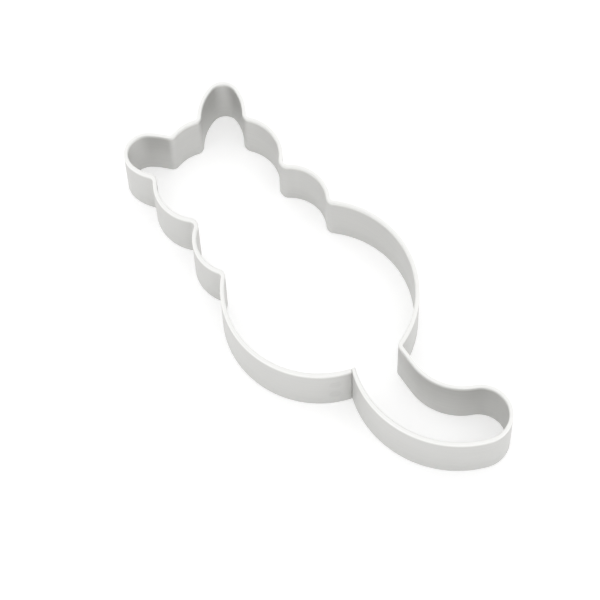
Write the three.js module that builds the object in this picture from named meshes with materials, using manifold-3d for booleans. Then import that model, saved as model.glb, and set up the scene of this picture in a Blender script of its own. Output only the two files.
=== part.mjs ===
// Cat-shaped biscuit cutter. One flat aluminium strip stands on edge and is bent into the
// outline of a cat seen from behind, with its tail curled to one side. The strip's two ends
// meet in the crease where the tail leaves the body: the tail's end runs on as a tab behind the
// body's end, and two flush rivets hold the lap.
//
// Millimetres. Z is up and the cutting edge stands on z = 0. X runs from the ears to the tail.
// The outline is drawn along the middle of the strip's thickness, counter-clockwise from above,
// and its places are measured from the middle of the body: "ahead" is towards the ears,
// "behind" is towards the tail, and "aside" is out from the line that halves the cat.

import * as THREE from 'three';
import { mergeVertices } from 'three/addons/utils/BufferGeometryUtils.js';
import Module from 'manifold-3d';

// Strip.
const stripHeight = 16;
const stripThickness = 1;
const rimRounding = 0.4;
const cuttingEdgeWidth = 0.5;
const cuttingBevelHeight = 0.8;

// Rounded parts of the cat.
const bodyRadius = 23;
const shoulderRadius = 9.6;
const shoulderAhead = 22.9;
const shoulderAside = 8.1;
const cheekRadius = 10.6;
const cheekAhead = 40.5;
const cheekAside = 5.8;
const earTipRadius = 4.8;
const earTipAhead = 55.1;
const earTipAside = 11.7;
const earBackRadius = 14.2;
const earBackBearing = 78;
const browRadius = 10.1;
const browAhead = 44.9;

// Creases, where the outline turns inwards between two rounded parts.
const waistCreaseRadius = 1.4;
const neckCreaseRadius = 1.8;
const cheekCreaseRadius = 1.7;
const browCreaseRadius = 1.4;
const browCreaseAside = 3.4;

// Tail.
const tailBackRadius = 25.3;
const tailBackBehind = 31.8;
const tailBackAside = 16.7;
const tailTipRadius = 6.8;
const tailTipBearing = -21;
const tailHollowRadius = 14.5;
const tailHollowBearing = 152;
const tailRootAside = 7;
const tailRootCreaseRadius = 1;

// Lap seam.
const lapLength = 8;
const lapGap = 0.2;
const seamGap = 0.3;
const tabHeight = 10;
const tabCornerRadius = 1.5;
const tabTrim = 1;

// Flush rivets.
const rivetSpacing = 5;
const rivetShankDiameter = 1.6;
const rivetFlushHeadDiameter = 3;
const rivetFlushHeadDepth = 0.7;
const rivetFormedHeadDiameter = 3;
const rivetFormedHeadHeight = 0.6;
const rivetClearance = 0.3;

// Fineness of the facets.
const chordError = 0.02;
const touchingError = 0.002;
const roundingSteps = 2;
const rivetSides = 24;

const aluminium = { color: 0xd3d4d5, metalness: 0.9, roughness: 0.42 };

const wasm = await Module();
wasm.setup();

const degrees = THREE.MathUtils.degToRad;

function toward(centre, distance, angle) {
  return new THREE.Vector2(
    centre.x + distance * Math.cos(angle),
    centre.y + distance * Math.sin(angle),
  );
}

function mirrored(point) {
  return new THREE.Vector2(point.x, -point.y);
}

// A turn of the strip about a centre. Its radius is positive where the strip turns left,
// round a part of the cat, and negative where it turns right, in a crease.
function roundPart(centre, radius) {
  return { centre, radius };
}

function crease(centre, radius) {
  return { centre, radius: -radius };
}

// Bearing, from the first part's centre, of the place outside the outline that lies at the given
// reaches from the first and the second part's centres.
function bearingBetween(first, second, firstReach, secondReach) {
  const line = new THREE.Vector2().subVectors(second.centre, first.centre);
  const span = line.length();
  const cosine = (firstReach ** 2 + span ** 2 - secondReach ** 2) / (2 * firstReach * span);
  return line.angle() - Math.acos(cosine);
}

// The crease that touches two rounded parts from outside, first and second along the outline.
function creaseBetween(first, second, radius) {
  const reach = first.radius + radius;
  const bearing = bearingBetween(first, second, reach, second.radius + radius);
  return crease(toward(first.centre, reach, bearing), radius);
}

function mirroredTurn(turn) {
  return { centre: mirrored(turn.centre), radius: turn.radius };
}

const middle = new THREE.Vector2(0, 0);
const body = roundPart(middle, bodyRadius);
const shoulder = roundPart(new THREE.Vector2(-shoulderAhead, shoulderAside), shoulderRadius);
const cheek = roundPart(new THREE.Vector2(-cheekAhead, cheekAside), cheekRadius);
const brow = roundPart(new THREE.Vector2(-browAhead, 0), browRadius);

// An ear: a small round tip that runs on into a flatter back, and a straight side to the brow.
const earTip = roundPart(new THREE.Vector2(-earTipAhead, earTipAside), earTipRadius);
const earBackShift = earTipRadius - earBackRadius;
const earBack = roundPart(
  toward(earTip.centre, earBackShift, degrees(earBackBearing)),
  earBackRadius,
);
const browCreaseReach = browRadius + browCreaseRadius;
const browCreaseBearing = Math.PI - Math.asin(browCreaseAside / browCreaseReach);
const browCrease = crease(
  toward(brow.centre, browCreaseReach, browCreaseBearing),
  browCreaseRadius,
);

// The half of the cat on the side of the tail's curl. The other half mirrors it.
const half = [
  creaseBetween(body, shoulder, waistCreaseRadius),
  shoulder,
  creaseBetween(shoulder, cheek, neckCreaseRadius),
  cheek,
  creaseBetween(cheek, earBack, cheekCreaseRadius),
  earBack,
  earTip,
  browCrease,
];
const otherHalf = half.map(mirroredTurn).reverse();

// The tail: a long back, a round tip inside its end, and a hollow that runs straight to the root.
const tailBack = roundPart(new THREE.Vector2(tailBackBehind, tailBackAside), tailBackRadius);
const tailTip = roundPart(
  toward(tailBack.centre, tailBackRadius - tailTipRadius, degrees(tailTipBearing)),
  tailTipRadius,
);
const tailHollow = crease(
  toward(tailTip.centre, tailTipRadius + tailHollowRadius, degrees(tailHollowBearing)),
  tailHollowRadius,
);
const rootCreaseReach = bodyRadius + tailRootCreaseRadius;
const rootBearing = Math.asin(tailRootAside / rootCreaseReach);
const rootCrease = crease(toward(middle, rootCreaseReach, rootBearing), tailRootCreaseRadius);

// Bearing of the strip's outer face where it leaves one turn for the next. Turns that touch meet
// in a point, and the strip runs straight between turns that don't.
function faceBearing(turn, next) {
  const line = new THREE.Vector2().subVectors(next.centre, turn.centre);
  const cosine = (turn.radius - next.radius) / line.length();
  return line.angle() - Math.acos(THREE.MathUtils.clamp(cosine, -1, 1));
}

// The lap. The strip starts as the tab, which lies inside the body's wall by its own thickness,
// and creases out into the tail's back. The strip's other end is the body's wall outside the tab,
// which stops just short of the tail's outer face.
const tab = roundPart(middle, bodyRadius - stripThickness - lapGap);
const tabCrease = creaseBetween(tab, tailBack, tailRootCreaseRadius);
const lapOutside = bodyRadius + stripThickness / 2;
const lapInside = tab.radius - stripThickness / 2;
const tailOutside = tailBackRadius + stripThickness / 2;
const seamBearing = bearingBetween(body, tailBack, lapOutside, tailOutside);
const wallEndBearing = seamBearing - seamGap / lapOutside;
const tabStartBearing = wallEndBearing - lapLength / bodyRadius;
const tabEndBearing = faceBearing(tab, tabCrease);

const turns = [
  tab,
  tabCrease,
  tailBack,
  tailTip,
  tailHollow,
  rootCrease,
  body,
  ...half,
  brow,
  ...otherHalf,
  body,
];

// Steps that keep the facets of a bend within the chord error at its outer face.
function stepsForBend(radius, sweep) {
  const outside = Math.abs(radius) + stripThickness / 2;
  const stepAngle = 2 * Math.acos(1 - chordError / outside);
  return Math.ceil(Math.abs(sweep) / stepAngle);
}

function bend(turn, startBearing, endBearing) {
  const way = Math.sign(turn.radius);
  const sweep = way * THREE.MathUtils.euclideanModulo(way * (endBearing - startBearing), 2 * Math.PI);
  const at = (t) => startBearing + sweep * t;
  return {
    steps: stepsForBend(turn.radius, sweep),
    point: (t) => toward(turn.centre, turn.radius, at(t)),
    heading: (t) => at(t) + Math.PI / 2,
  };
}

function straight(from, to) {
  const heading = new THREE.Vector2().subVectors(to, from).angle();
  return {
    steps: 1,
    point: (t) => from.clone().lerp(to, t),
    heading: () => heading,
  };
}

// The strip's runs in order: a bend for each turn, and a straight where two turns don't touch.
function runsAlong(list, startBearing, endBearing) {
  const runs = [];
  let bearing = startBearing;
  list.forEach((turn, index) => {
    const next = list[index + 1];
    const leaving = next ? faceBearing(turn, next) : endBearing;
    runs.push(bend(turn, bearing, leaving));
    if (next) {
      const from = toward(turn.centre, turn.radius, leaving);
      const to = toward(next.centre, next.radius, leaving);
      if (from.distanceTo(to) > touchingError) runs.push(straight(from, to));
    }
    bearing = leaving;
  });
  return runs;
}

// The middle line of the strip as a curve that gives each run as many steps as it needs.
class StripLine extends THREE.Curve {
  constructor(runs) {
    super();
    this.runs = runs;
    this.steps = runs.reduce((sum, run) => sum + run.steps, 0);
  }

  locate(t) {
    let steps = t * this.steps;
    let index = 0;
    while (index < this.runs.length - 1 && steps >= this.runs[index].steps) {
      steps -= this.runs[index].steps;
      index += 1;
    }
    return [this.runs[index], steps / this.runs[index].steps];
  }

  getUtoTmapping(u) {
    return u;
  }

  getPoint(t, target = new THREE.Vector3()) {
    const [run, share] = this.locate(t);
    const point = run.point(share);
    return target.set(point.x, point.y, 0);
  }

  getTangent(t, target = new THREE.Vector3()) {
    const [run, share] = this.locate(t);
    const heading = run.heading(share);
    return target.set(Math.cos(heading), Math.sin(heading), 0);
  }
}

// Section of the strip: a rounded rim above, and a bevel on each side down to the cutting edge.
// Along a level line the sweep lays the section's x downwards and its y across the strip.
function stripSection() {
  const face = stripThickness / 2;
  const land = cuttingEdgeWidth / 2;
  const rimStart = -(stripHeight - rimRounding);
  const rimMiddle = face - rimRounding;
  const section = new THREE.Shape();
  section.moveTo(0, -land);
  section.lineTo(0, land);
  section.lineTo(-cuttingBevelHeight, face);
  section.lineTo(rimStart, face);
  section.absarc(rimStart, rimMiddle, rimRounding, Math.PI / 2, Math.PI, false);
  section.lineTo(-stripHeight, -rimMiddle);
  section.absarc(rimStart, -rimMiddle, rimRounding, Math.PI, 1.5 * Math.PI, false);
  section.lineTo(-cuttingBevelHeight, -face);
  section.closePath();
  return section;
}

function toSolid(geometry) {
  const bare = geometry.clone();
  bare.deleteAttribute('normal');
  bare.deleteAttribute('uv');
  const merged = mergeVertices(bare);
  return new wasm.Manifold(new wasm.Mesh({
    numProp: 3,
    vertProperties: merged.attributes.position.array,
    triVerts: new Uint32Array(merged.index.array),
  }));
}

function toGeometry(solid) {
  const mesh = solid.getMesh();
  const geometry = new THREE.BufferGeometry();
  geometry.setAttribute('position', new THREE.BufferAttribute(mesh.vertProperties, 3));
  geometry.setIndex(new THREE.BufferAttribute(mesh.triVerts, 1));
  geometry.computeVertexNormals();
  return geometry;
}

// Rivets stand square to the lap, halfway along it, with their flush heads outwards.
const rivetBearing = (tabStartBearing + wallEndBearing) / 2;
const rivetHeights = {
  upper: (stripHeight + rivetSpacing) / 2,
  lower: (stripHeight - rivetSpacing) / 2,
};

function rivetPlace(height) {
  const place = new THREE.Object3D();
  place.rotation.set(0, 0, rivetBearing - Math.PI / 2);
  place.position.z = height;
  return place;
}

// Profiles run from the axis at the inner end to the axis at the outer end. Their y is the
// distance from the middle of the body.
function rivetProfile() {
  const shank = rivetShankDiameter / 2;
  const formedSeat = lapInside - rivetClearance;
  const dome = new THREE.EllipseCurve(
    0, formedSeat, rivetFormedHeadDiameter / 2, rivetFormedHeadHeight, -Math.PI / 2, 0,
  );
  return [
    ...dome.getPoints(rivetSides / 4),
    new THREE.Vector2(shank, formedSeat),
    new THREE.Vector2(shank, lapOutside - rivetFlushHeadDepth),
    new THREE.Vector2(rivetFlushHeadDiameter / 2, lapOutside),
    new THREE.Vector2(0, lapOutside),
  ];
}

function rivetHoleProfile() {
  const hole = rivetShankDiameter / 2 + rivetClearance;
  const countersink = rivetFlushHeadDiameter / 2 + rivetClearance;
  const past = stripThickness;
  return [
    new THREE.Vector2(0, lapInside - past),
    new THREE.Vector2(hole, lapInside - past),
    new THREE.Vector2(hole, lapOutside - rivetFlushHeadDepth),
    new THREE.Vector2(countersink, lapOutside),
    new THREE.Vector2(countersink, lapOutside + past),
    new THREE.Vector2(0, lapOutside + past),
  ];
}

function turned(profile) {
  const geometry = new THREE.LatheGeometry(profile, rivetSides);
  geometry.rotateY(Math.PI / rivetSides);
  return geometry;
}

// What is trimmed from the strip to leave the tab: the tab's whole space and the crease beside it,
// from the middle of the lap gap inwards, less a plate with rounded corners at the tab's free end.
// The plate is drawn square to the rivets. Above and below it the tail's wall ends flush with the
// inside of the body's wall, so the rim and the cutting edge run round the corner only once.
function tabSpace() {
  const outside = bodyRadius - (stripThickness + lapGap) / 2;
  const inside = lapInside - tabTrim;
  const start = tabStartBearing - 2 * tabTrim / tab.radius;
  const end = tabEndBearing + 2 * (tailRootCreaseRadius + stripThickness) / tab.radius;
  const space = new THREE.Shape();
  space.absarc(0, 0, outside, start, end, false);
  space.absarc(0, 0, inside, end, start, true);
  space.closePath();
  const block = new THREE.ExtrudeGeometry(space, {
    depth: stripHeight + 2 * tabTrim, bevelEnabled: false, curveSegments: rivetSides,
  });
  return block.translate(0, 0, -tabTrim);
}

function tabPlate() {
  const joinedEnd = -lapLength;
  const corner = lapLength / 2 - tabCornerRadius;
  const top = (stripHeight + tabHeight) / 2;
  const bottom = (stripHeight - tabHeight) / 2;
  const plate = new THREE.Shape();
  plate.moveTo(joinedEnd, top);
  plate.lineTo(joinedEnd, bottom);
  plate.absarc(corner, bottom + tabCornerRadius, tabCornerRadius, -Math.PI / 2, 0, false);
  plate.absarc(corner, top - tabCornerRadius, tabCornerRadius, 0, Math.PI / 2, false);
  plate.closePath();
  const block = new THREE.ExtrudeGeometry(plate, {
    depth: bodyRadius, bevelEnabled: false, curveSegments: rivetSides / 4,
  });
  block.rotateX(Math.PI / 2);
  block.translate(0, lapOutside, 0);
  return block.rotateZ(rivetBearing - Math.PI / 2);
}

function makeStrip() {
  const untrimmedBearing = tabStartBearing - tabTrim / tab.radius;
  const line = new StripLine(runsAlong(turns, untrimmedBearing, wallEndBearing));
  const swept = new THREE.ExtrudeGeometry(stripSection(), {
    steps: line.steps,
    extrudePath: line,
    curveSegments: roundingSteps,
  });
  const waste = toSolid(tabSpace()).subtract(toSolid(tabPlate()));
  let solid = toSolid(swept).subtract(waste);
  for (const height of Object.values(rivetHeights)) {
    const place = rivetPlace(height);
    place.updateMatrix();
    solid = solid.subtract(toSolid(turned(rivetHoleProfile()).applyMatrix4(place.matrix)));
  }
  const strip = new THREE.Mesh(toGeometry(solid), new THREE.MeshStandardMaterial(aluminium));
  strip.name = 'cutter_strip';
  return strip;
}

function makeRivet(position, height) {
  const material = new THREE.MeshStandardMaterial(aluminium);
  const rivet = new THREE.Mesh(turned(rivetProfile()), material);
  rivet.name = `seam_rivet_${position}`;
  const place = rivetPlace(height);
  place.add(rivet);
  return place;
}

// The finished cutter stands with the middle of its outline over the origin.
const strip = makeStrip();
const outlineMiddle = new THREE.Box3().setFromObject(strip).getCenter(new THREE.Vector3());
const cutter = new THREE.Group();
cutter.name = 'cat_biscuit_cutter';
cutter.position.set(-outlineMiddle.x, -outlineMiddle.y, 0);
cutter.add(strip);
for (const [position, height] of Object.entries(rivetHeights)) {
  cutter.add(makeRivet(position, height));
}

export default cutter;
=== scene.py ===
# %% [markdown]
# # A biscuit cutter in the outline of a cat
#
# The real thing is one flat strip of aluminium, stood on edge and bent round a row of formers until
# its two ends meet. A tab at one end lies behind the other end, and two flush rivets hold the lap.
#
# This lesson dresses the measured solids of that cutter for a photograph. The solids come in first
# and stay where they are. They fix the place and the overall size.

# %% Load the measured solids
import math

import bmesh
import bpy
from mathutils import Euler, Matrix, Vector


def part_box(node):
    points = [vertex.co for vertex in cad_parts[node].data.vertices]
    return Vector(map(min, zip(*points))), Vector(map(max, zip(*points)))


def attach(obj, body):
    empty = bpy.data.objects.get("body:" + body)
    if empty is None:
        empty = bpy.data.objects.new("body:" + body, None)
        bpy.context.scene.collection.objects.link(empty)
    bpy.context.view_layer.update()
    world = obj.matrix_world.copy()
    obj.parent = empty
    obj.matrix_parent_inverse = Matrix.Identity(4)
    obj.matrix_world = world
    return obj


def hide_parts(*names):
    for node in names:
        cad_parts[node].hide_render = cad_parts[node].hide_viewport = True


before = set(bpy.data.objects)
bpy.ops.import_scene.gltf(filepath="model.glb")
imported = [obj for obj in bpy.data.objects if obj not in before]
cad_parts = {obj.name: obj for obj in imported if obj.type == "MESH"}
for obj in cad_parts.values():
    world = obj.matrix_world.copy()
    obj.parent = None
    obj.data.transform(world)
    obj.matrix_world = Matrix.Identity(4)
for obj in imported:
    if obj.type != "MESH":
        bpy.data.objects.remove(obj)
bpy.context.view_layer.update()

MM = 0.001
strip_low, strip_high = (Vector(corner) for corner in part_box("cutter_strip"))
print("solids:", sorted(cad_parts))
print("strip box, mm:", [round(c / MM, 2) for c in (*strip_low, *strip_high)])

# %% [markdown]
# ## The formers that the strip is bent round
#
# Seen from above, the outline is a chain of arcs. A strip-bending jig has a round former at each
# rounded part of the cat, and a small one outside it at each crease. An arc here is a centre and a
# radius: plus where the strip turns left, round a part of the cat, and minus where it turns right,
# in a crease. Curves drawn freehand would be quicker, but arcs that touch each other are what a
# bender makes, and they keep the wall smooth from one bend to the next.
#
# Places are measured in millimetres from the middle of the body, "ahead" towards the ears. Bearings
# are angles seen from above, counted from the direction away from the ears.

# %% Arcs, and the creases between them
THICKNESS = 1.0
HEIGHT = 16.0


def toward(centre, distance, bearing):
    return centre + distance * Vector((math.cos(bearing), math.sin(bearing)))


def arc(ahead, aside, radius):
    return Vector((-ahead, aside)), radius


def bearing_of(line):
    return math.atan2(line.y, line.x)


def bearing_between(first, second, first_reach, second_reach):
    """Bearing, from the first centre, of the place outside the cat at the two reaches."""
    line = second[0] - first[0]
    span = line.length
    cosine = (first_reach ** 2 + span ** 2 - second_reach ** 2) / (2 * first_reach * span)
    return bearing_of(line) - math.acos(cosine)


def crease_between(first, second, radius):
    reach = first[1] + radius
    bearing = bearing_between(first, second, reach, second[1] + radius)
    return toward(first[0], reach, bearing), -radius


def crease_on(part, radius, bearing):
    """A crease at a bearing in degrees."""
    return toward(part[0], part[1] + radius, math.radians(bearing)), -radius


def ease_from(part, radius, bearing):
    """An arc of another radius that runs on from a part at a bearing in degrees."""
    return toward(part[0], part[1] - radius, math.radians(bearing)), radius


BODY_RADIUS = 23.0
body = arc(0, 0, BODY_RADIUS)
print("strip, mm:", HEIGHT, "high and", THICKNESS, "thick, body radius", BODY_RADIUS)

# %% [markdown]
# ## The two halves of the cat
#
# Each side of the cat has a shoulder, a cheek and an ear, with a crease before each of them and one
# more at the brow. An ear is three arcs that run into each other: a long back, a round tip and a long
# front. Ears that are bent by hand are never quite alike. In the photograph the one on the side that
# the tail curls to is slimmer, so each has its own sizes. Mirroring one ear, as the solids do, would
# be shorter, but it would miss that.

# %% List the bends of each half
WAIST_CREASE = 1.4
NECK_CREASE = 1.8
EAR_CREASE = 1.7
BROW_CREASE = 1.4
shoulder = arc(22.9, 8.1, 9.6)
cheek = arc(40.5, 5.8, 10.6)
brow = arc(44.9, 0, 10.1)


def half_of_cat(tip, back_radius, back_bearing, front_radius, front_bearing):
    """Arcs from the waist to the brow, on the side that the tail curls to."""
    back = ease_from(tip, back_radius, back_bearing)
    front = ease_from(tip, front_radius, front_bearing)
    return [
        crease_between(body, shoulder, WAIST_CREASE),
        shoulder,
        crease_between(shoulder, cheek, NECK_CREASE),
        cheek,
        crease_between(cheek, back, EAR_CREASE),
        back,
        tip,
        front,
        crease_between(front, brow, BROW_CREASE),
    ]


curl_half = half_of_cat(
    tip=arc(56.08, 12.86, 3.77),
    back_radius=12.6,
    back_bearing=87.3,
    front_radius=13.6,
    front_bearing=196.8,
)
plain_half = half_of_cat(
    tip=arc(54.46, 11.12, 5.2),
    back_radius=10.5,
    back_bearing=79.4,
    front_radius=22.4,
    front_bearing=220.7,
)
plain_half = [(Vector((c.x, -c.y)), r) for c, r in reversed(plain_half)]
print("arcs in each half of the cat:", len(curl_half))

# %% [markdown]
# ## The tail
#
# The tail is a wide arc along its back, a round tip and a hollow that turns the other way. On the
# side of the hollow the body isn't quite round: it swells into a haunch of a slightly wider radius
# before it meets the tail. The solid's plain round leaves that out. An arc that runs on from the
# body shows the swell and leaves no kink.

# %% List the bends of the tail
TAIL_BACK_RADIUS = 25.3
TAIL_CREASE = 1.0
tail_back = arc(-31.8, 16.7, TAIL_BACK_RADIUS)
tail_tip = ease_from(tail_back, radius=6.9, bearing=-21.6)
tail_hollow = crease_on(tail_tip, radius=13.85, bearing=153.6)
haunch = ease_from(body, radius=24.9, bearing=85)
tail_root = crease_on(haunch, TAIL_CREASE, bearing=19.25)
print("tail's radii, mm:", [r for _, r in (tail_back, tail_tip, tail_hollow, tail_root)])

# %% [markdown]
# ## Where the two ends meet
#
# No seam shows on the walls that face the camera, so the ends meet in the crease where the tail's
# back leaves the body. The tail's end turns in there and runs on as a tab inside the body's wall,
# which itself stops just short of the tail. The tail's full height ends flush with the inside of
# that wall, so that the rim shows a single line round the corner. Ends that only met edge to edge
# would be simpler, but they would leave nothing to rivet.

# %% Arcs and bearings of the lap
LAP_LENGTH = 8.0
LAP_GAP = 0.15
SEAM_GAP = 0.03
tab = arc(0, 0, BODY_RADIUS - THICKNESS - LAP_GAP)
tab_crease = crease_between(tab, tail_back, TAIL_CREASE)
lap_outside = BODY_RADIUS + THICKNESS / 2
wall_inside = BODY_RADIUS - THICKNESS / 2
tail_outside = TAIL_BACK_RADIUS + THICKNESS / 2
bend_back = TAIL_CREASE + THICKNESS / 2
seam_bearing = bearing_between(body, tail_back, lap_outside, tail_outside)
wall_end = seam_bearing - SEAM_GAP / lap_outside
tab_free_end = wall_end - LAP_LENGTH / BODY_RADIUS
tab_root = bearing_of(tab_crease[0] - tab[0])
rim_end = bearing_between(tab_crease, body, bend_back, wall_inside) - math.pi
bends = [tab_crease, tail_back, tail_tip, tail_hollow, tail_root, haunch, body]
bends += [*curl_half, brow, *plain_half, body]
print("bends along the strip:", len(bends), "lap at", round(math.degrees(wall_end), 1), "degrees")

# %% [markdown]
# ## Two habits that keep operators honest
#
# An operator works on whatever is selected, and the solids are all selected once they are loaded.
# So each new piece starts with nothing selected, and inside edit mode faces and edges are picked by
# where they are. Picking by place reads like a sentence ("every edge at the free end") and still
# works when a step count changes, which picking by index number would not.


# %% Helpers to start a piece and to pick parts of it
def start_fresh():
    if bpy.context.mode != "OBJECT":
        bpy.ops.object.mode_set(mode="OBJECT")
    bpy.ops.object.select_all(action="DESELECT")


def pick(kind, test):
    """Selects the verts, edges or faces of the edited mesh whose points all pass the test."""
    select_mode = {"verts": "VERT", "edges": "EDGE", "faces": "FACE"}[kind]
    bpy.ops.mesh.select_mode(type=select_mode)
    bpy.ops.mesh.select_all(action="DESELECT")
    piece = bpy.context.edit_object
    mesh = bmesh.from_edit_mesh(piece.data)
    for item in getattr(mesh, kind):
        points = [item] if kind == "verts" else item.verts
        item.select_set(all(test(piece.matrix_world @ point.co) for point in points))
    mesh.select_flush_mode()
    bmesh.update_edit_mesh(piece.data)
    return sum(item.select for item in getattr(mesh, kind))


def finish_piece(name):
    """Back to object mode, with the piece's place moved into its mesh."""
    start_fresh()
    piece = bpy.context.view_layer.objects.active
    piece.select_set(True)
    bpy.ops.object.transform_apply(location=True, rotation=True, scale=True)
    piece.name = piece.data.name = name
    return piece


def describe(piece):
    piece.data.calc_loop_triangles()
    sizes = [round(d / MM, 2) for d in piece.dimensions]
    print(piece.name, "mm:", sizes, "triangles:", len(piece.data.loop_triangles))


# %% [markdown]
# ## The strip's section
#
# A flat strip starts as a thin upright plane. Its lower edge is drawn in to the narrow land of the
# cutting edge: bisect adds a line across the plane where the bevel starts, so that only the part
# below it narrows. The two upper corners are rounded with a vertex bevel, which is the smooth rim
# under a cook's palm. A box with a Bevel modifier would round all four corners alike.
#
# The solid's box shows where the ears end. The middle of the solid's wall reaches EARS_REACH ahead
# of the body's middle there, so the two together place the cat. A hair is the distance, in
# millimetres, below which two places count as the same.

# %% Stand up the section in the tail's first crease
CUTTING_LAND = 0.5
CUTTING_BEVEL = 0.8
RIM_ROUNDING = 0.4
RIM_SEGMENTS = 6
EARS_REACH = 59.9
HAIR = 0.01
body_middle = Vector((strip_low.x / MM + EARS_REACH + THICKNESS / 2, 0))


def in_scene(point, height=0.0):
    """A place in the cat's own millimetres, as a point of the scene in metres."""
    return Vector((*(point + body_middle), height)) * MM


start_fresh()
bpy.ops.mesh.primitive_plane_add(
    size=1,
    enter_editmode=True,
    location=in_scene(toward(*tab_crease, rim_end), HEIGHT / 2),
    rotation=(math.pi / 2, 0, rim_end),
)
bpy.ops.transform.resize(value=(THICKNESS * MM, HEIGHT * MM, 1), orient_type="LOCAL")
bpy.ops.mesh.bisect(plane_co=(0, 0, CUTTING_BEVEL * MM), plane_no=(0, 0, 1))
pick("verts", lambda p: p.z < CUTTING_BEVEL * MM / 2)
bpy.ops.transform.resize(value=(CUTTING_LAND / THICKNESS, 1, 1), orient_type="LOCAL")
pick("verts", lambda p: p.z > (HEIGHT - HAIR) * MM)
bpy.ops.mesh.bevel(offset=RIM_ROUNDING * MM, segments=RIM_SEGMENTS, affect="VERTICES")
section_points = pick("verts", lambda p: True)
print("points round the section:", section_points)

# %% [markdown]
# ## Bending the strip
#
# Spin does in one call what a bender does with one former: it carries the selected end face round a
# centre and leaves a wall behind it. After each call the new end face stays selected, so the next
# bend goes on from there. Where two formers don't touch, the strip runs straight, and a plain
# extrude makes that stretch. A curve with a bevel profile would also give this wall, but its rings
# are spaced by the curve's own rules, and here each bend gets the steps that its radius needs.
#
# Seen from above, spin counts a positive angle clockwise, so a left turn is negative.

# %% Bend the strip round every former
CHORD_ERROR = 0.006


def bend_round(centre, radius, angle):
    outside = abs(radius) + THICKNESS / 2
    step = 2 * math.acos(1 - CHORD_ERROR / outside)
    steps = max(1, math.ceil(abs(angle) / step))
    bpy.ops.mesh.spin(steps=steps, angle=-angle, center=in_scene(centre), axis=(0, 0, 1))
    return steps


def leaving_bearing(turn, following):
    line = following[0] - turn[0]
    cosine = (turn[1] - following[1]) / line.length
    return bearing_of(line) - math.acos(max(-1, min(1, cosine)))


bearing = rim_end
rings = 0
for turn, following in zip(bends, [*bends[1:], None]):
    centre, radius = turn
    leaving = leaving_bearing(turn, following) if following else wall_end
    way = math.copysign(1, radius)
    rings += bend_round(centre, radius, way * ((way * (leaving - bearing)) % math.tau))
    if following:
        run = toward(*following, leaving) - toward(centre, radius, leaving)
        if run.length > HAIR:
            move = {"value": (run.x * MM, run.y * MM, 0)}
            bpy.ops.mesh.extrude_region_move(TRANSFORM_OT_translate=move)
            rings += 1
    bearing = leaving
print("rings along the strip:", rings)

# %% [markdown]
# ## The filed end
#
# The end of a strip is filed until it lies close against the bend that it meets. The end face that
# is still selected is the end of the body's wall. Turning it a little about its outer edge backs its
# inner edge off, as a file would, so that it clears the inside of the tail's bend while the outer
# edges of the seam stay close. A Boolean cut would do the same, but turning adds no faces.

# %% File the end of the wall
END_FILING = math.radians(9)
outer_edge = in_scene(toward(body[0], lap_outside, wall_end))
bpy.ops.transform.rotate(value=-END_FILING, orient_axis="Z", center_override=outer_edge)
print("end of the wall filed by", round(math.degrees(END_FILING)), "degrees")

# %% [markdown]
# ## The tab
#
# The tab is lower than the rim and higher than the cutting edge, so neither is doubled where the
# ends lap. The strip still has its first end face. Two bisects mark the tab's height on it, and only
# the middle piece is spun on, round the rest of the crease and along the inside of the body's wall.
# The free corners are rounded by an edge bevel, as snips and a file take them off at the bench. Spin
# leaves a doubled line where the tab starts, and a merge by distance closes it. A separate plate
# would be quicker to add, but the real tab is one with the strip.

# %% Draw the tab out of the first end face
TAB_HEIGHT = 10.0
TAB_CORNER = 1.5
TAB_CORNER_SEGMENTS = 8
tab_top = (HEIGHT + TAB_HEIGHT) / 2
tab_bottom = (HEIGHT - TAB_HEIGHT) / 2


def on_section(turn, bearing):
    """A test for points of the strip's section at one bearing of a turn."""
    across = Vector((-math.sin(bearing), math.cos(bearing)))
    along = Vector((math.cos(bearing), math.sin(bearing)))

    def test(p):
        flat = p.xy / MM - body_middle - toward(*turn, bearing)
        on_line = abs(flat.dot(across)) < HAIR
        return on_line and abs(flat.dot(along)) < THICKNESS / 2 + HAIR

    return test


at_first_end = on_section(tab_crease, rim_end)
at_free_end = on_section(tab, tab_free_end)
for level in (tab_bottom, tab_top):
    pick("faces", at_first_end)
    bpy.ops.mesh.bisect(plane_co=(0, 0, level * MM), plane_no=(0, 0, 1))
pick("faces", lambda p: at_first_end(p) and tab_bottom - HAIR < p.z / MM < tab_top + HAIR)
bend_round(*tab_crease, tab_root - rim_end)
bend_round(*tab, tab_free_end - tab_root)
corners = 0
for level in (tab_bottom, tab_top):
    corners += pick("edges", lambda p: at_free_end(p) and abs(p.z / MM - level) < HAIR)
    bpy.ops.mesh.bevel(
        offset=TAB_CORNER * MM, segments=TAB_CORNER_SEGMENTS, affect="EDGES"
    )
bpy.ops.mesh.select_all(action="SELECT")
bpy.ops.mesh.remove_doubles(threshold=HAIR * MM)
bpy.ops.mesh.normals_make_consistent(inside=False)
strip = finish_piece("bent_strip")
print("tab corners rounded:", corners)
describe(strip)

# %% [markdown]
# ## Edges that aren't razor sharp
#
# Cut metal is deburred, and even a cutting edge has a trace of roundness that catches the light. A
# Bevel modifier that works by angle finds every hard edge by itself and leaves the bends alone,
# because their facets meet at only a few degrees. Picking those edges in edit mode would work too,
# but it would need a test for each kind.

# %% Break the hard edges of the strip
EDGE_BREAK = 0.03
EDGE_SEGMENTS = 2
HARD_EDGE = math.radians(40)
edge_break = strip.modifiers.new("edge_break", "BEVEL")
edge_break.width = EDGE_BREAK * MM
edge_break.segments = EDGE_SEGMENTS
edge_break.limit_method = "ANGLE"
edge_break.angle_limit = HARD_EDGE
bpy.context.view_layer.objects.active = strip
bpy.ops.object.modifier_apply(modifier=edge_break.name)
describe(strip)

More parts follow.
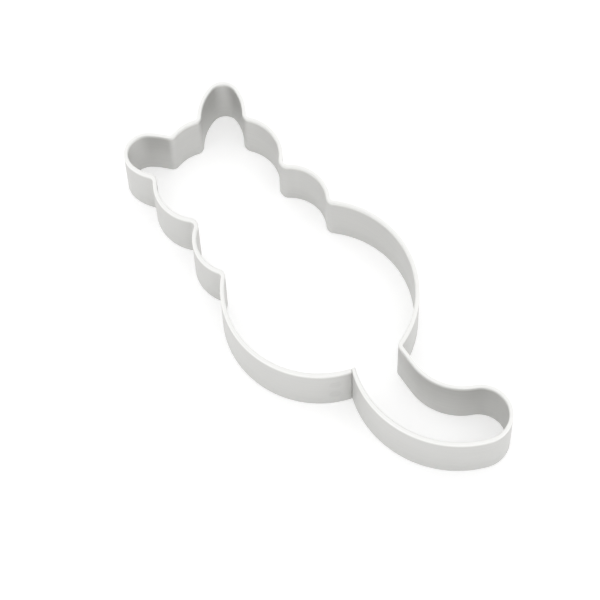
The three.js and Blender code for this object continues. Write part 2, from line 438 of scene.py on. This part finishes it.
# %% [markdown]
# ## Rivets
#
# A flush rivet is a turned piece: a cone that sits in a countersink, a shank through both leaves of
# the lap, and a low dome that is formed on the inside. It grows from a filled circle by extruding
# and scaling, as on a lathe seen ring by ring. The same recipe with slightly more radius makes the
# tool that cuts the countersunk hole, so a rivet and its hole can't drift apart.

# %% A lathe made of extrude and scale
RIVET_SPACING = 5.0
LATHE_SIDES = 64
lap_inside = tab[1] - THICKNESS / 2
rivet_bearing = (tab_free_end + wall_end) / 2
upper_level = (HEIGHT + RIVET_SPACING) / 2
lower_level = upper_level - RIVET_SPACING


def turn_on_lathe(name, profile, level):
    """Turns (radius, reach from the body's middle) pairs into a closed piece through the lap."""
    start_fresh()
    radius, reach = profile[0]
    bpy.ops.mesh.primitive_circle_add(
        vertices=LATHE_SIDES,
        radius=radius * MM,
        fill_type="NGON",
        enter_editmode=True,
        location=(0, 0, reach * MM),
    )
    for next_radius, next_reach in profile[1:]:
        move = {"value": (0, 0, (next_reach - reach) * MM)}
        bpy.ops.mesh.extrude_region_move(TRANSFORM_OT_translate=move)
        grow = next_radius / radius
        bpy.ops.transform.resize(value=(grow, grow, 1))
        radius, reach = next_radius, next_reach
    bpy.ops.mesh.select_all(action="SELECT")
    bpy.ops.mesh.normals_make_consistent(inside=False)
    piece = finish_piece(name)
    piece.rotation_euler = (0, math.pi / 2, rivet_bearing)
    piece.location = in_scene(Vector((0, 0)), level)
    return finish_piece(name)


print("rivets at, mm:", lower_level, upper_level, "lap from", lap_inside, "to", lap_outside)

# %% [markdown]
# ## Countersunk holes
#
# The holes are drilled through both leaves at once, so that they line up, and the outer one is opened
# to a cone for the head. A Boolean does the same with a tool that is turned on the lathe above and
# reaches a little past the metal on both sides, so that no skin is left over the hole.


# %% Drill and countersink the lap
def carve(piece, tool, operation):
    cut = piece.modifiers.new("cut", "BOOLEAN")
    cut.operation = operation
    cut.solver = "MANIFOLD"
    cut.object = tool
    start_fresh()
    bpy.context.view_layer.objects.active = piece
    bpy.ops.object.modifier_apply(modifier=cut.name)
    bpy.data.objects.remove(tool)


SHANK_RADIUS = 0.8
HEAD_RADIUS = 1.5
HEAD_DEPTH = 0.7
HOLE_EASE = 0.015
PAST = 1.0
hole_profile = [
    (SHANK_RADIUS + HOLE_EASE, lap_inside - PAST),
    (SHANK_RADIUS + HOLE_EASE, lap_outside - HEAD_DEPTH),
    (HEAD_RADIUS + HOLE_EASE, lap_outside),
    (HEAD_RADIUS + HOLE_EASE, lap_outside + PAST),
]
for level in (upper_level, lower_level):
    carve(strip, turn_on_lathe("hole_tool", hole_profile, level), "DIFFERENCE")
describe(strip)

# %% [markdown]
# ## Heads dressed flush
#
# A set rivet is filed down until its head can't be felt, so its face follows the wall's own round.
# Scaling the head's rim would only flatten it. A Boolean with a drum of the body's radius keeps what
# lies inside the drum, which is just what the file leaves.
#
# The dome at the other end is turned first. It starts as a small circle, DOME_START degrees off the
# axis, because a circle with no radius couldn't be scaled up.

# %% Turn a rivet and dress its head
DOME_HEIGHT = 0.6
DOME_RINGS = 6
DOME_START = 8
DRUM_SIDES = 720
dome_profile = []
for ring in range(DOME_RINGS + 1):
    rise = math.radians(DOME_START + (90 - DOME_START) * ring / DOME_RINGS)
    dome_radius = HEAD_RADIUS * math.sin(rise)
    dome_profile.append((dome_radius, lap_inside - DOME_HEIGHT * math.cos(rise)))
rivet_profile = [
    *dome_profile,
    (SHANK_RADIUS, lap_inside),
    (SHANK_RADIUS, lap_outside - HEAD_DEPTH),
    (HEAD_RADIUS, lap_outside),
    (HEAD_RADIUS, lap_outside + PAST / 2),
]


def dressing_drum():
    start_fresh()
    bpy.ops.mesh.primitive_cylinder_add(
        vertices=DRUM_SIDES,
        radius=lap_outside * MM,
        depth=3 * HEIGHT * MM,
        location=in_scene(Vector((0, 0)), HEIGHT / 2),
    )
    return bpy.context.object


upper_rivet = turn_on_lathe("upper_rivet", rivet_profile, upper_level)
carve(upper_rivet, dressing_drum(), "INTERSECT")
describe(upper_rivet)

# %% [markdown]
# ## The second rivet
#
# Both rivets are of one size, so the second is a copy of the first, moved straight down. It gets a
# mesh of its own. A linked copy would share the first one's mesh, and its place couldn't be moved
# into that mesh without moving both.

# %% Copy the rivet to its lower place
start_fresh()
upper_rivet.select_set(True)
bpy.context.view_layer.objects.active = upper_rivet
bpy.ops.object.duplicate(linked=False)
bpy.ops.transform.translate(value=(0, 0, -RIVET_SPACING * MM))
lower_rivet = finish_piece("lower_rivet")
describe(lower_rivet)

# %% [markdown]
# ## Smooth shading where the metal is smooth
#
# Bends and domes should shade as one surface, and edges should stay edges. Flat shading would show
# every step of a bend, and smooth shading all over would blur the edges. Shading by angle does both:
# faces that meet at less than the angle share their shading, and the rest keep a crisp line.

# %% Shade the pieces
SMOOTH_BELOW = math.radians(30)
dressed = (strip, upper_rivet, lower_rivet)
for piece in dressed:
    start_fresh()
    piece.select_set(True)
    bpy.context.view_layer.objects.active = piece
    bpy.ops.object.shade_smooth_by_angle(angle=SMOOTH_BELOW)
print("shaded:", [piece.name for piece in dressed])

# %% [markdown]
# ## Satin aluminium
#
# The strip was drawn through rollers, so its grain runs along it as very fine level lines. Handling
# leaves broad soft patches where the metal is a little duller. Both are shared by the strip and the
# rivets, so they are one node group that gives out three values: a tone, a roughness and a height.
# A photograph of metal wrapped on the strip would only suit one light, and these work in any.
#
# The group reads Object coordinates. Stretching them upwards turns round noise into level lines on
# every wall at once, whichever way the wall faces, so no unwrapping is needed.

# %% Helpers to wire nodes
NOISE_LOW, NOISE_HIGH = 0.3, 0.7


def noise(nodes, links, coordinates, scale, stretch, detail):
    mapping = nodes.new("ShaderNodeMapping")
    mapping.inputs["Scale"].default_value = stretch
    links.new(coordinates, mapping.inputs["Vector"])
    texture = nodes.new("ShaderNodeTexNoise")
    texture.inputs["Scale"].default_value = scale
    texture.inputs["Detail"].default_value = detail
    links.new(mapping.outputs["Vector"], texture.inputs["Vector"])
    return texture.outputs["Fac"]


def feed(links, value, socket):
    """Links a node's output to a socket, or sets the socket to a plain number."""
    if hasattr(value, "is_linked"):
        links.new(value, socket)
    else:
        socket.default_value = value


def spread(nodes, links, value, low, high):
    """Stretches a noise value to the range between low and high."""
    span = nodes.new("ShaderNodeMapRange")
    span.inputs["From Min"].default_value = NOISE_LOW
    span.inputs["From Max"].default_value = NOISE_HIGH
    links.new(value, span.inputs["Value"])
    feed(links, low, span.inputs["To Min"])
    feed(links, high, span.inputs["To Max"])
    return span.outputs["Result"]


def math_node(nodes, links, operation, first, second):
    node = nodes.new("ShaderNodeMath")
    node.operation = operation
    feed(links, first, node.inputs[0])
    feed(links, second, node.inputs[1])
    return node.outputs["Value"]


print("noise is stretched from", NOISE_LOW, "to", NOISE_HIGH)

# %% [markdown]
# ## The shared finish
#
# The grain is the noise with the stretched coordinates. The patches are a broad noise, and the bloom
# is a very fine one that breaks up the shine, as the fine texture that rollers leave does. Only
# numbers leave the group, so any material can use them. Image textures could hold the same values,
# but the wall would have to be laid out flat for them first.

# %% Build the shared metal finish
GRAIN_STRETCH = (60, 60, 1900)
GRAIN_DETAIL = 4
PATCH_SCALE = 70
BLOOM_SCALE = 2600
SOFT_DETAIL = 2
EVEN = (1, 1, 1)
drawn_metal = bpy.data.node_groups.new("drawn_metal", "ShaderNodeTree")
for direction, names in (
    ("INPUT", ("Roughness", "Patches", "Grain")),
    ("OUTPUT", ("Tone", "Roughness", "Height")),
):
    for name in names:
        drawn_metal.interface.new_socket(
            name=name, in_out=direction, socket_type="NodeSocketFloat"
        )
nodes, links = drawn_metal.nodes, drawn_metal.links
group_in = nodes.new("NodeGroupInput")
group_out = nodes.new("NodeGroupOutput")
coordinates = nodes.new("ShaderNodeTexCoord").outputs["Object"]
grain = noise(nodes, links, coordinates, 1, GRAIN_STRETCH, GRAIN_DETAIL)
patches = noise(nodes, links, coordinates, PATCH_SCALE, EVEN, SOFT_DETAIL)
bloom = noise(nodes, links, coordinates, BLOOM_SCALE, EVEN, SOFT_DETAIL)
low_tone = math_node(nodes, links, "SUBTRACT", 1, group_in.outputs["Grain"])
tone = spread(nodes, links, grain, low_tone, 1)
links.new(tone, group_out.inputs["Tone"])
dull = math_node(nodes, links, "ADD", group_in.outputs["Roughness"], group_in.outputs["Patches"])
patchy = spread(nodes, links, patches, group_in.outputs["Roughness"], dull)
grainy = spread(nodes, links, grain, 0, group_in.outputs["Patches"])
links.new(math_node(nodes, links, "ADD", patchy, grainy), group_out.inputs["Roughness"])
links.new(math_node(nodes, links, "ADD", grain, bloom), group_out.inputs["Height"])
print("finish group:", drawn_metal.name, "with", len(nodes), "nodes")

# %% [markdown]
# ## Two alloys
#
# The strip and the rivets are both aluminium, but rivet wire is softer and a shade greyer, and its
# heads have been filed. One helper builds both, and each gets its own colour, roughness and grain.

# %% Build the materials
RELIEF_DEPTH = 0.01


def metal(name, colour, roughness, patches, grain, bump):
    material = bpy.data.materials.new(name)
    material.use_nodes = True
    nodes, links = material.node_tree.nodes, material.node_tree.links
    shader = nodes["Principled BSDF"]
    shader.inputs["Metallic"].default_value = 1
    finish = nodes.new("ShaderNodeGroup")
    finish.node_tree = drawn_metal
    finish.inputs["Roughness"].default_value = roughness
    finish.inputs["Patches"].default_value = patches
    finish.inputs["Grain"].default_value = grain
    tint = nodes.new("ShaderNodeMix")
    tint.data_type = "RGBA"
    tint.inputs["A"].default_value = (0, 0, 0, 1)
    tint.inputs["B"].default_value = (*colour, 1)
    links.new(finish.outputs["Tone"], tint.inputs["Factor"])
    links.new(finish.outputs["Roughness"], shader.inputs["Roughness"])
    relief = nodes.new("ShaderNodeBump")
    relief.inputs["Strength"].default_value = bump
    relief.inputs["Distance"].default_value = RELIEF_DEPTH * MM
    links.new(finish.outputs["Height"], relief.inputs["Height"])
    links.new(relief.outputs["Normal"], shader.inputs["Normal"])
    colour_link = links.new(tint.outputs["Result"], shader.inputs["Base Color"])
    return material, tint, colour_link


satin, satin_tint, satin_link = metal(
    name="satin_aluminium",
    colour=(0.66, 0.659, 0.646),
    roughness=0.545,
    patches=0.05,
    grain=0.05,
    bump=0.2,
)
rivet_metal, _, _ = metal(
    name="rivet_aluminium",
    colour=(0.646, 0.645, 0.632),
    roughness=0.555,
    patches=0.06,
    grain=0.06,
    bump=0.3,
)
print("materials:", satin.name, rivet_metal.name)

# %% [markdown]
# ## A painted highlight on the rim
#
# The strip's colour is lightened towards its rim. This is a painted highlight for the light that the
# rounded rim would catch, and it fades out a millimetre and a half below the rim.
# That is a mask on height alone, so the strip's Object coordinates are enough. A second material on
# the rim's faces would end in a hard line.

# %% Paint the rim's highlight
HIGHLIGHT_DEPTH = 1.5
RIM_HIGHLIGHT = (0.94, 0.939, 0.925)


def paint_rim_highlight(material, tint, link):
    """Paints a highlight on the strip: its colour is lightened towards its rim."""
    nodes, links = material.node_tree.nodes, material.node_tree.links
    height = nodes.new("ShaderNodeSeparateXYZ")
    links.new(nodes.new("ShaderNodeTexCoord").outputs["Object"], height.inputs["Vector"])
    painted = nodes.new("ShaderNodeMapRange")
    painted.interpolation_type = "SMOOTHSTEP"
    painted.inputs["From Min"].default_value = (HEIGHT - HIGHLIGHT_DEPTH) * MM
    painted.inputs["From Max"].default_value = HEIGHT * MM
    links.new(height.outputs["Z"], painted.inputs["Value"])
    # Painted highlight: the colour is mixed towards a near white at the rim.
    painted_highlight = nodes.new("ShaderNodeMix")
    painted_highlight.data_type = "RGBA"
    painted_highlight.inputs["B"].default_value = (*RIM_HIGHLIGHT, 1)
    links.new(painted.outputs["Result"], painted_highlight.inputs["Factor"])
    links.new(tint.outputs["Result"], painted_highlight.inputs["A"])
    links.remove(link)
    links.new(painted_highlight.outputs["Result"], nodes["Principled BSDF"].inputs["Base Color"])


paint_rim_highlight(satin, satin_tint, satin_link)
for piece, material in zip(dressed, (satin, rivet_metal, rivet_metal)):
    piece.data.materials.clear()
    piece.data.materials.append(material)
print("rim rubbed bright over", HIGHLIGHT_DEPTH, "mm")

# %% [markdown]
# ## The table
#
# The cutter stands on a white table in a white room. The metal should see that table as it is lit,
# bright in the open and dim in the corners, so for reflections it is a white surface with only a
# little gleam of its own. For the camera a larger part of its light is swapped for an even glow, as
# an exposure for the metal would do: the open table reads as white, and what shading is left under
# the walls is the soft shadow.

# %% Lay the table
TABLE_SIZE = 8
TABLE_ROUGHNESS = 0.9
TABLE_WHITE = 0.95
TABLE_SHADED_SHARE = 0.7
TABLE_GLOW = 0.44
TABLE_GLEAM = 0.24


def mirrored_rays(nodes, links, ray):
    """1 for a ray that metal or glass has sent on, 0 for any other."""
    glossy, passed = ray.outputs["Is Glossy Ray"], ray.outputs["Is Transmission Ray"]
    return math_node(nodes, links, "MAXIMUM", glossy, passed)


start_fresh()
bpy.ops.mesh.primitive_plane_add(size=TABLE_SIZE)
table = bpy.context.object
table.name = "table"
table_white = bpy.data.materials.new("table_white")
table_white.use_nodes = True
nodes, links = table_white.node_tree.nodes, table_white.node_tree.links
table_shader = nodes["Principled BSDF"]
table_shader.inputs["Roughness"].default_value = TABLE_ROUGHNESS
table_shader.inputs["Specular IOR Level"].default_value = 0
table_shader.inputs["Emission Color"].default_value = (1, 1, 1, 1)
ray = nodes.new("ShaderNodeLightPath")
shaded = nodes.new("ShaderNodeMapRange")
shaded.inputs["To Min"].default_value = TABLE_WHITE
shaded.inputs["To Max"].default_value = TABLE_SHADED_SHARE
links.new(ray.outputs["Is Camera Ray"], shaded.inputs["Value"])
links.new(shaded.outputs["Result"], table_shader.inputs["Base Color"])
glow = math_node(nodes, links, "MULTIPLY", ray.outputs["Is Camera Ray"], TABLE_GLOW)
mirrored = mirrored_rays(nodes, links, ray)
gleam = math_node(nodes, links, "MULTIPLY", mirrored, TABLE_GLEAM)
links.new(
    math_node(nodes, links, "ADD", glow, gleam), table_shader.inputs["Emission Strength"]
)
table.data.materials.append(table_white)
print("table:", TABLE_SHADED_SHARE, "shaded and", TABLE_GLOW, "glow for the camera")

# %% [markdown]
# ## The air of the room
#
# White walls send light back from everywhere, so the world gives a part of the light from all sides.
# Metal also has to show those walls. For the camera and for reflections the world is therefore plain
# white, and only the light that it casts is turned down.

# %% Fill the room with light
AIR_LIGHT = 0.58
room = bpy.data.worlds.new("white_room")
bpy.context.scene.world = room
room.use_nodes = True
nodes, links = room.node_tree.nodes, room.node_tree.links
background = nodes["Background"]
background.inputs["Color"].default_value = (1, 1, 1, 1)
ray = nodes.new("ShaderNodeLightPath")
mirrored = mirrored_rays(nodes, links, ray)
seen = math_node(nodes, links, "MAXIMUM", ray.outputs["Is Camera Ray"], mirrored)
air = nodes.new("ShaderNodeMapRange")
air.inputs["To Min"].default_value = AIR_LIGHT
links.new(seen, air.inputs["Value"])
links.new(air.outputs["Result"], background.inputs["Strength"])
print("air light:", AIR_LIGHT)

# %% [markdown]
# ## A big soft lamp
#
# Bright metal is photographed in a white tent, so that it shows white cloth and not the lamp. One
# broad lamp hangs over the tent. It lays a soft shade on the table along the foot of the walls, and
# it is kept out of glossy rays, as the cloth would keep it. A smaller lamp would print hard shadows,
# and a lamp that the metal could see would burn a white line along the rim.

# %% Hang the lamp
LAMP_SIZE = 1.35
LAMP_POWER = 5.4
lamp_place = Vector((-0.05, 0.03, 0.85))
start_fresh()
bpy.ops.object.light_add(
    type="AREA",
    location=lamp_place,
    rotation=(-lamp_place).to_track_quat("-Z", "Y").to_euler(),
)
lamp = bpy.context.object
lamp.name = "soft_lamp"
lamp.data.shape = "SQUARE"
lamp.data.size = LAMP_SIZE
lamp.data.energy = LAMP_POWER
lamp.visible_glossy = False
print("lamp at", [round(c, 3) for c in lamp_place], "m, size", LAMP_SIZE, "m")

# %% [markdown]
# ## The camera
#
# The walls' upper and lower edges in the photograph fix where its camera stood: high, over the near
# side of the body, with a long lens and the frame turned by a couple of degrees. A camera's own
# rotation tilts and turns it. The roll about its line of sight comes first, so it is multiplied in
# on the right.

# %% Place the camera
FOCAL_LENGTH = 154.32
CAMERA_DISTANCE = 616.13
SENSOR_WIDTH = 36
NEAREST_SEEN = 0.01
ELEVATION, AZIMUTH, ROLL = 63.879, 55.13, -2.492
aim = Vector((-1.07, -3.5, 8.0)) * MM
tilt = Euler((math.radians(90 - ELEVATION), 0, math.radians(AZIMUTH))).to_matrix()
facing = tilt @ Matrix.Rotation(math.radians(ROLL), 3, "Z")
start_fresh()
bpy.ops.object.camera_add(
    location=aim + facing @ Vector((0, 0, CAMERA_DISTANCE * MM)),
    rotation=facing.to_euler(),
)
camera = bpy.context.object
camera.data.lens = FOCAL_LENGTH
camera.data.sensor_width = SENSOR_WIDTH
camera.data.clip_start = NEAREST_SEEN
bpy.context.scene.camera = camera
bpy.context.scene.view_settings.view_transform = "Standard"
print("camera at, mm:", [round(c / MM, 1) for c in camera.location])

# %% [markdown]
# ## Hand the pieces over
#
# Each dressed piece stands for one measured solid and stays with the cutter's only body.

# %% Ride and replace
for piece, node, slot in (
    (strip, "cutter_strip", "satin_aluminium"),
    (upper_rivet, "seam_rivet_upper", "rivet_aluminium"),
    (lower_rivet, "seam_rivet_lower", "rivet_aluminium"),
):
    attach(piece, "root")
    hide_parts(node)
